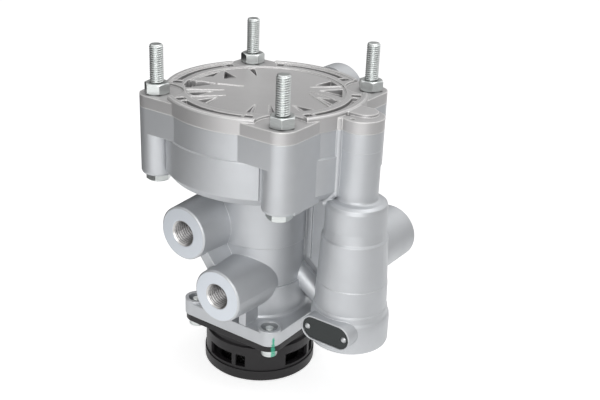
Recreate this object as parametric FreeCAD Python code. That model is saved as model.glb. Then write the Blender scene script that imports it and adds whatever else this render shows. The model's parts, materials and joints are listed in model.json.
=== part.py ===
import FreeCAD, Part
import math
import os

# Trailer brake relay emergency valve, millimetres, +Z up.
# The origin is the centre of the stud square, on the plane of the nuts' top faces,
# where the mounting bracket seats. The front of the valve faces -Y.

# Mounting studs and nuts
stud_pitch = 88.0
stud_radius = 4.0
stud_core_radius = 3.7
stud_reach = 21.8
stud_chamfer = 0.9
stud_clearance = 0.3
nut_across_flats = 13.0
nut_height = 6.3
bolt_head_height = 4.2
nut_turns = (23.0, 4.0, 10.0, 34.0)
bolt_head_turns = (58.0, 34.0, 10.0, 34.0)
thread_gap = 0.02
hex_chamfer_angle = 30.0

# Upper cover
lug_corner_radius = 10.0
lug_half_side = stud_pitch / 2 + lug_corner_radius
rim_overhang = 5.0
rim_radius = lug_half_side + rim_overhang
rim_height = 2.4
rim_lip_width = 3.0
rim_edge = 0.8
rim_groove_setback = 5.0
rim_groove_width = 3.5
rim_groove_depth = 3.4
rim_groove_outer = rim_radius - rim_groove_setback
rim_groove_inner = rim_groove_outer - rim_groove_width
inner_ring_width = 4.0
inner_ring_inner = rim_groove_inner - inner_ring_width
inner_ring_height = 1.5
floor_height = 0.5
floor_dish = 1.2
cover_thickness = 7.0
nut_recess_radius = 15.0
nut_recess_wall = 1.5
pocket_depth = 4.2
box_pocket_width = 4.5
box_pocket_start = -160.0
box_pocket_angle = 15.0
ridge_width = 1.1
ridge_height = 0.9
rim_pocket_start = 15.5
rim_pocket_end = 20.5
rim_web_width = 1.6
cover_floor_thickness = 6.4
spigot_depth = 4.0
spigot_wall = 5.5
spigot_clearance = 0.2
cover_seal_height = 2.4
cover_seal_depth = 1.8
tongue_radius = 7.0
tongue_height = 1.7
tongue_side_offset = 3.0
tongue_overlap = 9.0
dimple_radius = 1.3
dimple_depth = 1.2
dimple_offsets = ((-6.0, -5.3), (-1.0, -8.6))
transfer_radius = 2.0

# Head of the body casting
head_depth = 41.0
ledge_drop = 15.0
wall_setback = 0.5
band_proud = 1.0
band_bead = 0.7
band_taper_height = 4.8
band_taper = 4.0
band_relief_radius = 11.6
head_floor = 8.0
head_wall = 7.0
cylinder_radius = rim_radius - head_wall
lug_column_edge = 2.0
lug_web_overlap = 3.0
rib_radius = 2.2
rib_angle = -9.8
rib_stop_height = 3.0
rib_tail_radius = 1.9
rib_tail_length = 7.0
rib_tail_drop = 7.0

# Neck of the body casting
neck_radius = 27.2
neck_step = 0.8
neck_foot_radius = 28.0
neck_foot_drop = 114.5
neck_foot_edge = 0.8
neck_length = 87.0
neck_step_drop = 40.8
neck_root_radius = 4.0
neck_foot_root = 1.8
guide_radius = 12.0
guide_length = 20.0
delivery_radius = 20.0
delivery_depth = 30.0
seat_wall = 4.0
seat_radius = 11.0
seat_lip_width = 1.5
seat_lip_height = 1.0
supply_radius = 19.0
supply_depth = 24.0
balance_hole_radius = 2.5
balance_hole_circle = 16.0

# Bottom flange and its screws
flange_screw_offset = 28.5
flange_margin = 7.3
flange_half_side = flange_screw_offset + flange_margin
flange_corner_radius = 8.0
flange_thickness = 8.2
flange_pad_height = 1.6
flange_recess_radius = 5.2
flange_recess_depth = 3.6
screw_radius = 3.0
screw_head_radius = 4.9
screw_head_height = 5.0
screw_length = 13.0
screw_clearance = 0.2
screw_socket_across_flats = 5.0
screw_socket_depth = 2.8

# Front ports
port_face_y = -50.0
port_thread_radius = 8.0
port_thread_depth = 16.0
port_boss_radius = 16.4
port_boss_base_radius = 18.0
port_edge = 0.8
port_boss_length = 32.0
upper_port_x = -20.5
upper_port_drop = 79.3
upper_passage_radius = 6.5
lower_port_x = 5.3
lower_port_drop = 112.0
lower_passage_radius = 6.5
port_web_thickness = 7.0
port_web_setback = 7.0
foot_rib_x = 13.0
foot_rib_thickness = 5.0
foot_rib_front = -35.4

# Control port at the back of the head
control_port_x = 5.7
control_port_face_y = 72.4
control_port_drop = 13.9
control_boss_radius = 17.0
control_port_depth = 12.5
control_boss_overlap = 2.0
control_passage_radius = 2.5
cover_gap = 0.5

# Side column
column_offset = 7.0
column_x = rim_radius + column_offset
column_top_radius = 11.7
column_top_length = 41.5
column_top_band = 11.0
column_top_step = 0.2
column_fillet = 1.4
column_lobe_radius = 12.2
column_shoulder_radius = 17.8
column_shoulder_height = 4.0
column_shoulder_drop = 22.0
column_cone_height = 5.5
column_cone_spread = 0.6
column_barrel_radius = 19.3
column_barrel_end_radius = 21.2
column_barrel_length = 44.0
column_ring_drop = 28.5
column_ring_step = 0.25
column_step_height = 1.2
column_flare_height = 8.3
column_collar_radius = 23.3
column_collar_height = 15.2
column_edge = 1.5
column_bore_radius = 15.0
column_transfer_radius = 3.0

# Rear port on the column
rear_port_face_y = 43.0
rear_port_drop = 84.4
rear_boss_radius = 16.6
rear_port_thread_radius = 11.0
rear_port_thread_depth = 14.0
rear_passage_radius = 5.0

# Webs between neck and column
panel_y = 12.5
panel_thickness = 5.0
panel_bottom_drop = 102.0
panel_slope = 0.9
lower_web_thickness = 2.4
lower_web_drop = 132.0
panel_rib_width = 2.6
panel_rib_proud = 1.5
panel_rib_x = 27.8
bridge_y = 8.0
bridge_radius = 6.3
bridge_slope = 0.74
bridge_bend_x = 39.0
bridge_bend_drop = 124.2
bridge_passage_radius = 3.0

# Nameplate on the column
plate_half_length = 8.7
plate_radius = 6.7
plate_thickness = 0.7
plate_border = 1.1
plate_rim_proud = 0.5
plate_rim_gap = 0.3
plate_stand_off = 1.7
plate_face_y = -(column_collar_radius + plate_stand_off)
plate_drop = 124.7
rivet_spacing = 24.8
rivet_radius = 1.1
rivet_head_radius = 1.8
rivet_head_height = 0.9
rivet_depth = 4.0

# Relay piston
piston_clearance = 0.1
piston_top_gap = 6.0
piston_crown_thickness = 4.0
piston_skirt_depth = 12.0
piston_skirt_wall = 5.0
piston_stem_clearance = 0.05
nose_radius = 8.0
nose_bore_radius = 5.5
nose_bore_depth = 10.0
ring_groove_height = 3.6
ring_groove_depth = 2.6
ring_clearance = 0.1
stem_groove_height = 2.4
stem_groove_depth = 1.7
stem_setback = 1.0

# Inlet valve
valve_head_radius = 14.5
valve_head_height = 4.6
valve_rubber_proud = 0.4
valve_rubber_thickness = 2.5
valve_rubber_inner = 5.2
valve_rubber_outer = 13.6
valve_tube_radius = 9.0
valve_tube_bore = 5.0
valve_tube_length = 36.0
valve_running_clearance = 0.06

# Valve guide insert
insert_clearance = 0.05
insert_height = 21.0
insert_recess_radius = 15.0
insert_recess_depth = 4.0
insert_groove_height = 3.0
insert_groove_depth = 2.2
circlip_thickness = 1.5
circlip_depth = 1.2
circlip_width = 3.4
circlip_gap_angle = 40.0

# Column piston and plug
spool_clearance = 0.08
spool_top_gap = 17.0
spool_length = 26.0
spool_stop_radius = 7.0
spool_stop_bore = 4.0
spool_stop_vent = 2.0
spool_vent_rise = 9.6
spool_land = 6.0
spool_waist_radius = 9.5
spool_groove_height = 2.4
spool_groove_depth = 1.7
spool_travel = 6.0
spool_end_gap = 0.5
plug_setback = 2.0
spool_pocket_radius = 8.0
spool_pocket_depth = 8.0
plug_height = 8.0
plug_groove_height = 2.6
plug_groove_depth = 1.9
plug_recess_radius = 6.0
plug_recess_depth = 3.0

# Springs
valve_spring_radius = 11.4
valve_spring_wire = 0.9
valve_spring_turns = 5.0
column_spring_radius = 6.4
column_spring_wire = 0.8
column_spring_turns = 6.0
spring_seat_gap = 0.02

# Silencer
silencer_plate_thickness = 4.0
silencer_plate_radius = 9.0
silencer_drum_radius = 34.3
silencer_drum_wall = 2.0
silencer_neck_depth = 6.0
silencer_drum_length = 21.8
silencer_window_height = 8.0
silencer_window_lift = 2.0
silencer_window_starts = (-115.0, -78.5)
silencer_window_angles = (32.0, 10.5)
silencer_neck_setback = 1.5
screw_head_room = 0.4
lid_overhang = 0.7
lid_radius = silencer_drum_radius + lid_overhang
lid_height = 7.0
lid_floor = 2.0
lid_clearance = 0.15
lid_wall = 2.0
lid_collar_radius = silencer_drum_radius - silencer_drum_wall - lid_clearance
lid_bowl_radius = lid_collar_radius - lid_wall
mesh_setback = 5.15
mesh_outer_radius = lid_bowl_radius - mesh_setback
mesh_wall = 7.0
mesh_inner_radius = mesh_outer_radius - mesh_wall
silencer_entry_setback = 1.0
silencer_entry_radius = mesh_inner_radius - silencer_entry_setback

# Levels, all measured down from the bracket plane
seat_z = -nut_height
seam_z = seat_z - cover_thickness
ledge_z = seam_z - ledge_drop
head_bottom_z = seam_z - head_depth
band_bottom_z = head_bottom_z + band_taper_height
head_floor_z = head_bottom_z + head_floor
guide_bottom_z = head_floor_z - guide_length
inlet_wall_z = guide_bottom_z - delivery_depth
inlet_under_z = inlet_wall_z - seat_wall
lap_z = inlet_under_z - seat_lip_height
insert_top_z = inlet_under_z - supply_depth
insert_bottom_z = insert_top_z - insert_height
flange_top_z = head_bottom_z - neck_length
flange_bottom_z = flange_top_z - flange_thickness
piston_top_z = seam_z - spigot_depth - piston_top_gap
piston_under_z = piston_top_z - piston_crown_thickness
stem_bottom_z = guide_bottom_z + stem_setback
column_neck_z = seam_z - column_top_length
column_step_z = column_neck_z - column_shoulder_drop
column_flare_z = column_step_z - column_barrel_length
column_collar_z = column_flare_z - column_flare_height
column_bottom_z = column_collar_z - column_collar_height
phead_bottom_z = column_bottom_z + circlip_thickness + plug_setback
plug_top_z = phead_bottom_z + plug_height
spool_bottom_z = plug_top_z + spool_travel + spool_end_gap
spool_top_z = spool_bottom_z + spool_length
column_bore_top_z = spool_top_z + spool_top_gap
upper_port_z = seat_z - upper_port_drop
lower_port_z = seat_z - lower_port_drop
rear_port_z = seat_z - rear_port_drop
control_port_z = seat_z - control_port_drop
bridge_bend_z = seat_z - bridge_bend_drop
neck_foot_z = seat_z - neck_foot_drop
plate_z = seat_z - plate_drop
silencer_top_z = flange_bottom_z
silencer_plate_z = silencer_top_z - silencer_plate_thickness
drum_bottom_z = silencer_plate_z - silencer_drum_length
lid_bottom_z = drum_bottom_z - lid_height

stud_places = [
    (sx * stud_pitch / 2, sy * stud_pitch / 2)
    for sx, sy in ((-1, -1), (1, -1), (1, 1), (-1, 1))
]
screw_places = [
    (sx * flange_screw_offset, sy * flange_screw_offset)
    for sx, sy in ((-1, -1), (1, -1), (1, 1), (-1, 1))
]

# Pockets and ridges of the cover, each corner as (share of the inner ring's radius, angle):
# a pocket is its shallow point and two deep corners, a ridge is its outer and inner end
cover_pocket_corners = (
    ((0.62, -169), (0.95, -159), (0.92, -147)),
    ((0.62, -136), (0.97, -133), (0.92, -123)),
    ((0.64, -115), (0.95, -113), (0.91, -101)),
    ((0.48, -66), (0.91, -67.5), (0.89, -62)),
    ((0.48, -48), (0.87, -50.5), (0.87, -46)),
    ((0.60, -23), (0.88, -26), (0.92, -15)),
    ((0.62, 20), (0.94, 1), (0.95, 16)),
    ((0.64, 43), (0.96, 24), (0.98, 45)),
    ((0.66, 61), (0.97, 53), (0.97, 67)),
    ((0.62, 138), (0.97, 136), (0.97, 141)),
    ((0.64, 162), (0.98, 161), (0.72, 176)),
    ((0.88, 178), (0.98, 165), (0.98, 189)),
)
cover_ridge_ends = (
    ((0.99, -160), (0.34, -177)),
    ((0.99, -138), (0.52, -143)),
    ((0.99, -121), (0.54, -119)),
    ((0.99, 12), (0.56, 43)),
    ((0.99, -3), (0.54, 30)),
    ((0.99, 50), (0.60, 58)),
)


# Basic solids

def vec(x, y, z):
    return FreeCAD.Vector(x, y, z)


def cylinder(radius, z0, z1, x=0.0, y=0.0):
    """Upright cylinder between two levels."""
    return Part.makeCylinder(radius, abs(z1 - z0), vec(x, y, min(z0, z1)), vec(0, 0, 1))


def cylinder_y(radius, x, z, y0, y1):
    """Cylinder along Y between two depths."""
    return Part.makeCylinder(radius, abs(y1 - y0), vec(x, min(y0, y1), z), vec(0, 1, 0))


def ring(outer, inner, z0, z1, x=0.0, y=0.0):
    """Upright tube between two levels."""
    return cylinder(outer, z0, z1, x, y).cut(cylinder(inner, z0 - 1, z1 + 1, x, y))


def block(x0, x1, y0, y1, z0, z1):
    return Part.makeBox(x1 - x0, y1 - y0, z1 - z0, vec(x0, y0, z0))


def turned(profile, x=0.0, y=0.0):
    """Solid of revolution about an upright axis from (radius, level) corners."""
    corners = [vec(radius, 0, level) for radius, level in profile]
    face = Part.Face(Part.makePolygon(corners + [corners[0]]))
    solid = face.revolve(vec(0, 0, 0), vec(0, 0, 1), 360)
    solid.translate(vec(x, y, 0))
    return solid


def turned_y(profile, x, z):
    """Solid of revolution about an axis along Y from (radius, depth) corners."""
    corners = [vec(radius, depth, 0) for radius, depth in profile]
    face = Part.Face(Part.makePolygon(corners + [corners[0]]))
    solid = face.revolve(vec(0, 0, 0), vec(0, 1, 0), 360)
    solid.translate(vec(x, 0, z))
    return solid


def rounded_square(half_side, corner, z0, z1):
    """Square plate with round corners, centred on the valve axis."""
    core = half_side - corner
    pieces = [
        block(-half_side, half_side, -core, core, z0, z1),
        block(-core, core, -half_side, half_side, z0, z1),
    ]
    corners = [
        cylinder(corner, z0, z1, sx * core, sy * core)
        for sx in (-1, 1)
        for sy in (-1, 1)
    ]
    return joined(pieces + corners)


def sector(outer, inner, start, width, z0, z1):
    """Part of a ring over an angle in degrees."""
    corners = [
        vec(inner, 0, z0),
        vec(outer, 0, z0),
        vec(outer, 0, z1),
        vec(inner, 0, z1),
    ]
    face = Part.Face(Part.makePolygon(corners + [corners[0]]))
    solid = face.revolve(vec(0, 0, 0), vec(0, 0, 1), width)
    solid.rotate(vec(0, 0, 0), vec(0, 0, 1), start)
    return solid


def joined(pieces):
    """Fuse overlapping pieces into one clean solid."""
    shape = pieces[0].fuse(pieces[1:]) if len(pieces) > 1 else pieces[0]
    return shape.removeSplitter()


def without(shape, cutters):
    return shape.cut(cutters).removeSplitter()


def polar(radius, angle, z):
    return vec(radius * math.cos(math.radians(angle)), radius * math.sin(math.radians(angle)), z)


def hexagon(across_flats, z0, z1, x, y, chamfered=(True, True), turn=0.0):
    """Hex prism with turned chamfers at the chosen ends (bottom, top)."""
    corner = across_flats / math.sqrt(3)
    points = [polar(corner, 60 * k + turn, z0) + vec(x, y, 0) for k in range(7)]
    prism = Part.Face(Part.makePolygon(points)).extrude(vec(0, 0, z1 - z0))
    drop = (corner - across_flats * 0.475) * math.tan(math.radians(hex_chamfer_angle))
    flat = across_flats * 0.475
    low = z0 + drop if chamfered[0] else z0
    high = z1 - drop if chamfered[1] else z1
    profile = [(0, z0), (flat if chamfered[0] else corner, z0), (corner, low)]
    profile += [(corner, high), (flat if chamfered[1] else corner, z1), (0, z1)]
    return prism.common(turned(without_repeats(profile), x, y))


def without_repeats(points):
    return [p for k, p in enumerate(points) if k == 0 or p != points[k - 1]]


def coil(radius, wire, z0, z1, turns, x=0.0, y=0.0):
    """Compression spring of eight-sided wire with ends ground flat at z0 and z1."""
    sunk = 0.6 * wire
    pitch = (z1 - z0 - 2 * sunk) / turns
    path = Part.makeHelix(pitch, pitch * turns, radius)
    corners = [
        vec(radius + wire * math.cos(math.radians(45 * k)), 0, wire * math.sin(math.radians(45 * k)))
        for k in range(9)
    ]
    wire_solid = Part.Wire(path).makePipeShell([Part.makePolygon(corners)], True, True)
    wire_solid.translate(vec(x, y, z0 + sunk))
    slab = cylinder(radius + 3 * wire, z0, z1, x, y)
    return wire_solid.common(slab)


def stadium_y(half_length, radius, x, z, y0, y1):
    """Long hole shape lying along X, standing along Y."""
    return joined([
        block(x - half_length, x + half_length, y0, y1, z - radius, z + radius),
        cylinder_y(radius, x - half_length, z, y0, y1),
        cylinder_y(radius, x + half_length, z, y0, y1),
    ])


# Upper cover

def cover_outline():
    """Lugged plate, the round rim that stands above it, and the lobe over the side column."""
    edge = rim_edge
    rim_top = seat_z + rim_height
    rim = turned([
        (0, seam_z), (rim_radius, seam_z), (rim_radius, rim_top - edge),
        (rim_radius - edge, rim_top), (0, rim_top),
    ])
    lugs = rounded_square(lug_half_side, lug_corner_radius, seam_z, seat_z)
    lobe = cylinder(column_lobe_radius, seam_z, seat_z, column_x)
    walls = [
        cylinder(nut_recess_radius + nut_recess_wall, seat_z - 1, rim_top - edge, x, y)
        for x, y in stud_places
    ]
    kept = cylinder(rim_radius, seam_z, rim_top)
    walls = [wall.common(kept) for wall in walls]
    bead = cylinder(rib_radius, seam_z, seat_z, rib_place(rib_angle).x, rib_place(rib_angle).y)
    return joined([rim, lugs, lobe, bead, cover_tongue()] + walls)


def cover_tongue():
    """Raised tongue above the passage that leads to the side column."""
    z0 = seat_z - 1.0
    z1 = seat_z + tongue_height
    y = tongue_side_offset
    return joined([
        block(rim_radius - tongue_overlap, column_x, y - tongue_radius, y + tongue_radius, z0, z1),
        cylinder(tongue_radius, z0, z1, column_x, y),
    ])


def cover_dish():
    """Space above the dished floor, inside the inner ring, and above the ring itself."""
    top = seat_z + rim_height + 1
    return turned([
        (0, seat_z + floor_height - floor_dish),
        (inner_ring_inner, seat_z + floor_height),
        (inner_ring_inner, seat_z + inner_ring_height),
        (rim_radius - rim_lip_width, seat_z + inner_ring_height),
        (rim_radius - rim_lip_width, top),
        (0, top),
    ])


def cover_pocket(corners):
    """Three-cornered pocket whose floor falls from its point to its two deep corners."""
    top = seat_z + rim_height
    rise = seat_z + floor_height
    levels = (rise, rise - pocket_depth, rise - pocket_depth)
    low = [polar(share * inner_ring_inner, angle, z) for (share, angle), z in zip(corners, levels)]
    high = [vec(point.x, point.y, top) for point in low]
    faces = [Part.Face(Part.makePolygon(ends + [ends[0]])) for ends in (low, high)]
    for k in range(3):
        m = (k + 1) % 3
        faces.append(Part.Face(Part.makePolygon([low[k], low[m], high[m], high[k], low[k]])))
    return Part.Solid(Part.Shell(faces))


def cover_pockets():
    top = seat_z + rim_height
    outer = inner_ring_inner + box_pocket_width / 4
    inner = outer - box_pocket_width
    box = sector(outer, inner, box_pocket_start, box_pocket_angle, seat_z - pocket_depth, top)
    return [cover_pocket(corners) for corners in cover_pocket_corners] + [box]


def cover_ridges():
    """Low ridges on the dished floor, falling from the inner ring towards the middle."""
    ridges = []
    root = seat_z + floor_height - 2 * floor_dish
    crest = seat_z + floor_height + ridge_height
    for (outer_share, outer_angle), (inner_share, inner_angle) in cover_ridge_ends:
        start = polar(outer_share * inner_ring_inner, outer_angle, root)
        end = polar(inner_share * inner_ring_inner, inner_angle, root)
        across = (end - start).cross(vec(0, 0, 1)).normalize() * ridge_width
        start, end = start - across / 2, end - across / 2
        corners = [start, vec(start.x, start.y, crest), vec(end.x, end.y, crest - floor_dish), end, start]
        ridges.append(Part.Face(Part.makePolygon(corners)).extrude(across))
    return ridges


def rim_grooves():
    """Annular groove inside the rim, broken by webs beside every lug."""
    top = seat_z + rim_height + 1
    bottom = seat_z + rim_height - rim_groove_depth
    web = math.degrees(rim_web_width / rim_groove_inner)
    span = 90 - 2 * (rim_pocket_end + web)
    cuts = []
    for lug_angle in (45, 135, 225, 315):
        start = lug_angle + rim_pocket_end + web
        cuts.append(sector(rim_groove_outer, rim_groove_inner, start, span, bottom, top))
        width = rim_pocket_end - rim_pocket_start
        for begin in (lug_angle + rim_pocket_start, lug_angle - rim_pocket_end):
            cuts.append(sector(rim_groove_outer + 1, rim_groove_inner - 1, begin, width, bottom, top))
    return cuts


def transfer_channel():
    """Drilled passage from the control chamber to the top of the side column."""
    level = seat_z - cover_thickness / 2
    inner = cylinder_radius - spigot_wall - 2 * transfer_radius
    across = Part.makeCylinder(transfer_radius, column_x - inner, vec(inner, 0, level), vec(1, 0, 0))
    down = cylinder(transfer_radius, seam_z - 1, level, column_x)
    into_chamber = cylinder(transfer_radius, seam_z - 1, level, inner)
    return joined([across, down, into_chamber])


def upper_cover():
    under_z = seat_z - cover_floor_thickness
    spigot_bottom = seam_z - spigot_depth
    spigot_radius = cylinder_radius - spigot_clearance
    spigot = ring(spigot_radius, spigot_radius - spigot_wall, spigot_bottom, seam_z + 1)
    plate = without(joined([cover_outline(), spigot]), [cover_dish()])
    cover = joined([plate] + cover_ridges())
    cuts = [transfer_channel()] + cover_pockets() + rim_grooves()
    cuts.append(cylinder(spigot_radius - spigot_wall, seam_z - 1, under_z))
    half = cover_seal_height / 2
    groove_radius = spigot_radius - cover_seal_depth
    cuts.append(ring(spigot_radius + 1, groove_radius, cover_seal_z() - half, cover_seal_z() + half))
    for x, y in stud_places:
        cuts.append(cylinder(nut_recess_radius, seat_z, seat_z + rim_height + 1, x, y))
        cuts.append(cylinder(stud_radius + stud_clearance, seam_z - 1, seat_z + 1, x, y))
    for dx, y in dimple_offsets:
        cuts.append(cylinder(dimple_radius, seat_z - dimple_depth, seat_z + 1, column_x + dx, y))
    return without(cover, cuts)


def cover_seal_z():
    return seam_z - spigot_depth / 2


def cover_seal():
    return piston_ring(cylinder_radius, spigot_clearance, cover_seal_depth, cover_seal_height, cover_seal_z())


# Fasteners

def cover_bolt(x, y, turn):
    """Hex bolt from below the lug, its threaded end standing up as a mounting stud."""
    head_bottom = head_bottom_z - bolt_head_height
    head = hexagon(nut_across_flats, head_bottom, head_bottom_z, x, y, (True, False), turn)
    top = stud_reach
    shank = turned([
        (0, head_bottom_z - 1), (stud_core_radius, head_bottom_z - 1), (stud_core_radius, thread_gap),
        (stud_radius, thread_gap), (stud_radius, top - stud_chamfer),
        (stud_radius - stud_chamfer, top), (0, top),
    ], x, y)
    return joined([head, shank])


def cover_nut(x, y, turn):
    nut = hexagon(nut_across_flats, seat_z, 0.0, x, y, (True, True), turn)
    return nut.cut(cylinder(stud_core_radius + thread_gap, seat_z - 1, 1, x, y))


# Body casting, outside

def head_outside():
    """Drum of the head: wall, proud lower band and tapered underside."""
    wall = rim_radius - wall_setback
    band = wall + band_proud
    drum = turned([
        (0, seam_z), (wall, seam_z), (wall, ledge_z), (band - band_bead / 4, ledge_z - band_bead / 4),
        (band, ledge_z - band_bead),
        (band, band_bottom_z), (band - band_taper, head_bottom_z), (0, head_bottom_z),
    ])
    reliefs = [
        ring(band + 5, wall, ledge_z - 1, head_bottom_z - 1).common(
            cylinder(band_relief_radius, ledge_z - 1, head_bottom_z - 1, x, y))
        for x, y in stud_places
    ]
    return drum.cut(reliefs)


def lug_column(x, y):
    """Round column under a lug with a rounded lower edge."""
    edge = lug_column_edge
    return turned([
        (0, seam_z), (lug_corner_radius, seam_z), (lug_corner_radius, head_bottom_z + edge),
        (lug_corner_radius - 0.3 * edge, head_bottom_z + 0.3 * edge),
        (lug_corner_radius - edge, head_bottom_z), (0, head_bottom_z),
    ], x, y)


def lug_side_web(sx, sy):
    """Flat web that runs the full height on the column side of a lug."""
    inner = lug_half_side - 2 * lug_corner_radius
    across = math.sqrt(rim_radius ** 2 - lug_half_side ** 2)
    reach = stud_pitch / 2
    low, high = sorted((sy * (across - lug_web_overlap), sy * reach))
    x0, x1 = sorted((sx * inner, sx * lug_half_side))
    return block(x0, x1, low, high, head_bottom_z, seam_z)


def rib_place(angle):
    return polar(rim_radius - wall_setback, angle, head_bottom_z + rib_stop_height)


def head_ribs():
    """Upright beads in the corners between head and side column; the front one has a tail."""
    ribs = []
    for angle in (rib_angle, -rib_angle):
        foot = rib_place(angle)
        ribs.append(cylinder(rib_radius, foot.z, seam_z, foot.x, foot.y))
        ribs.append(Part.makeSphere(rib_radius, foot))
    foot = rib_place(rib_angle)
    tail = vec(-rib_tail_length, 0, -rib_tail_drop)
    ribs.append(Part.makeCylinder(rib_tail_radius, tail.Length, foot, tail))
    ribs.append(Part.makeSphere(rib_radius, foot + tail))
    return ribs


def column_outside():
    """Side column: slim top, rounded shoulder, barrel with a step, flared collar."""
    shoulder_z = column_neck_z - column_shoulder_height
    slope = column_shoulder_radius - column_top_radius
    band_z = seam_z - column_top_band
    cone_radius = column_shoulder_radius + column_cone_spread
    cone_z = column_step_z + column_cone_height
    ring_z = column_step_z - column_ring_drop
    ring_share = column_ring_drop / column_barrel_length
    ring_radius = column_barrel_radius + ring_share * (column_barrel_end_radius - column_barrel_radius)
    flare = column_collar_radius - column_barrel_end_radius
    return turned([
        (0, seam_z), (column_top_radius + column_top_step, seam_z),
        (column_top_radius + column_top_step, band_z), (column_top_radius, band_z - column_top_step),
        (column_top_radius, column_neck_z + column_fillet),
        (column_top_radius + 0.3 * column_fillet, column_neck_z + 0.3 * column_fillet),
        (column_top_radius + column_fillet, column_neck_z),
        (column_top_radius + 0.6 * slope, column_neck_z - 0.12 * column_shoulder_height),
        (column_top_radius + 0.9 * slope, column_neck_z - 0.45 * column_shoulder_height),
        (column_shoulder_radius, shoulder_z), (column_shoulder_radius, cone_z),
        (cone_radius, column_step_z), (column_barrel_radius, column_step_z - column_step_height),
        (ring_radius, ring_z), (ring_radius + column_ring_step, ring_z - column_ring_step),
        (column_barrel_end_radius, column_flare_z),
        (column_barrel_end_radius + 0.25 * flare, column_flare_z - 0.08 * column_flare_height),
        (column_barrel_end_radius + 0.45 * flare, column_flare_z - 0.50 * column_flare_height),
        (column_barrel_end_radius + 0.85 * flare, column_flare_z - 0.66 * column_flare_height),
        (column_collar_radius, column_collar_z),
        (column_collar_radius, column_bottom_z + column_edge),
        (column_collar_radius - 0.3 * column_edge, column_bottom_z + 0.3 * column_edge),
        (column_collar_radius - column_edge, column_bottom_z),
        (0, column_bottom_z),
    ], column_x)


def neck_outside():
    """Neck with a fine step, a wider foot and small fillets at both ends."""
    step_z = head_bottom_z - neck_step_drop
    root = neck_root_radius
    waist = neck_radius - neck_step
    foot = neck_foot_radius
    toe = neck_foot_root
    edge = neck_foot_edge
    return turned([
        (0, head_bottom_z + 1), (neck_radius + root, head_bottom_z + 1), (neck_radius + root, head_bottom_z),
        (neck_radius + 0.3 * root, head_bottom_z - 0.3 * root), (neck_radius, head_bottom_z - root),
        (neck_radius, step_z), (waist, step_z), (waist, neck_foot_z),
        (foot - edge / 4, neck_foot_z - edge / 4), (foot, neck_foot_z - edge),
        (foot, flange_top_z + toe), (foot + 0.3 * toe, flange_top_z + 0.3 * toe),
        (foot + toe, flange_top_z), (foot + toe, flange_top_z - 1), (0, flange_top_z - 1),
    ])


def front_port_boss(x, z):
    """Drafted boss with a turned edge, closed at the back by a ball inside the casting."""
    back = port_face_y + port_boss_length
    cone = turned_y([
        (0, port_face_y), (port_boss_radius - port_edge, port_face_y),
        (port_boss_radius, port_face_y + port_edge), (port_boss_base_radius, back), (0, back),
    ], x, z)
    ball = Part.makeSphere(port_boss_base_radius, vec(x, back, z))
    return joined([cone, ball])


def port_web():
    """Plate that ties the two front bosses together."""
    dx = lower_port_x - upper_port_x
    dz = lower_port_z - upper_port_z
    length = math.hypot(dx, dz)
    front = port_face_y + port_web_setback
    web = block(0, length, front, -neck_radius / 2, -port_web_thickness / 2, port_web_thickness / 2)
    web.rotate(vec(0, 0, 0), vec(0, 1, 0), -math.degrees(math.atan2(dz, dx)))
    web.translate(vec(upper_port_x, 0, upper_port_z))
    return web


def foot_rib():
    """Short upright rib from the lower port boss down to the flange."""
    half = foot_rib_thickness / 2
    x0, x1 = foot_rib_x - half, foot_rib_x + half
    return block(x0, x1, foot_rib_front, -neck_radius / 2, flange_top_z, lower_port_z)


def control_boss():
    """Boss behind the head; above the seam it stays clear of the cover."""
    edge = port_edge
    inner = cylinder_radius + control_boss_overlap
    boss = turned_y([
        (0, inner), (control_boss_radius, inner), (control_boss_radius, control_port_face_y - edge),
        (control_boss_radius - edge, control_port_face_y), (0, control_port_face_y),
    ], control_port_x, control_port_z)
    room = cylinder(rim_radius + cover_gap, seam_z, seam_z + 2 * control_boss_radius)
    return boss.cut(room)


def rear_boss():
    edge = port_edge
    return turned_y([
        (0, 0), (rear_boss_radius, 0), (rear_boss_radius, rear_port_face_y - edge),
        (rear_boss_radius - edge, rear_port_face_y), (0, rear_port_face_y),
    ], column_x, rear_port_z)


def side_panel():
    """Upright web from the neck to the column, with a ribbed edge and a falling lower side."""
    front = panel_y - panel_thickness / 2
    bottom = seat_z - panel_bottom_drop
    start = neck_radius / 2
    reach = column_x - column_barrel_radius / 2
    fall = panel_slope * (column_x - column_barrel_radius - panel_rib_x)
    corners = [
        (start, head_bottom_z + 1), (reach, head_bottom_z + 1), (reach, bottom - fall),
        (column_x - column_barrel_radius + 1, bottom - fall), (panel_rib_x, bottom), (start, bottom),
    ]
    points = [vec(x, front, z) for x, z in corners]
    panel = Part.Face(Part.makePolygon(points + [points[0]])).extrude(vec(0, panel_thickness, 0))
    rib_end = panel_rib_x + panel_rib_width
    rib_front = front - panel_rib_proud
    rib = block(panel_rib_x, rib_end, rib_front, panel_y, bottom, head_bottom_z + 1)
    back = panel_y + panel_thickness / 2
    lower_z = seat_z - lower_web_drop
    web = block(start, reach, back - lower_web_thickness, back - 0.3, lower_z, bottom + 1)
    return joined([panel, rib, web])


def bridge_pieces(radius, end_x):
    """Round bar from inside the neck down to a bend, and on level to end_x in the column."""
    start = vec(neck_radius / 2, bridge_y, bridge_bend_z + bridge_slope * (bridge_bend_x - neck_radius / 2))
    bend = vec(bridge_bend_x, bridge_y, bridge_bend_z)
    return [
        Part.makeCylinder(radius, (bend - start).Length, start, bend - start),
        Part.makeSphere(radius, bend),
        Part.makeCylinder(radius, end_x - bridge_bend_x, bend, vec(1, 0, 0)),
    ]


def nameplate_boss():
    """Flat boss for the nameplate with a raised rim around it."""
    radius = plate_radius + plate_border
    rim_y = plate_face_y - plate_thickness - plate_rim_proud
    boss = stadium_y(plate_half_length, radius, column_x, plate_z, rim_y, 0)
    inner = plate_radius + plate_rim_gap
    seat = stadium_y(plate_half_length, inner, column_x, plate_z, rim_y - 1, plate_face_y)
    return boss.cut(seat)


# Body casting, inside

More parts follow.
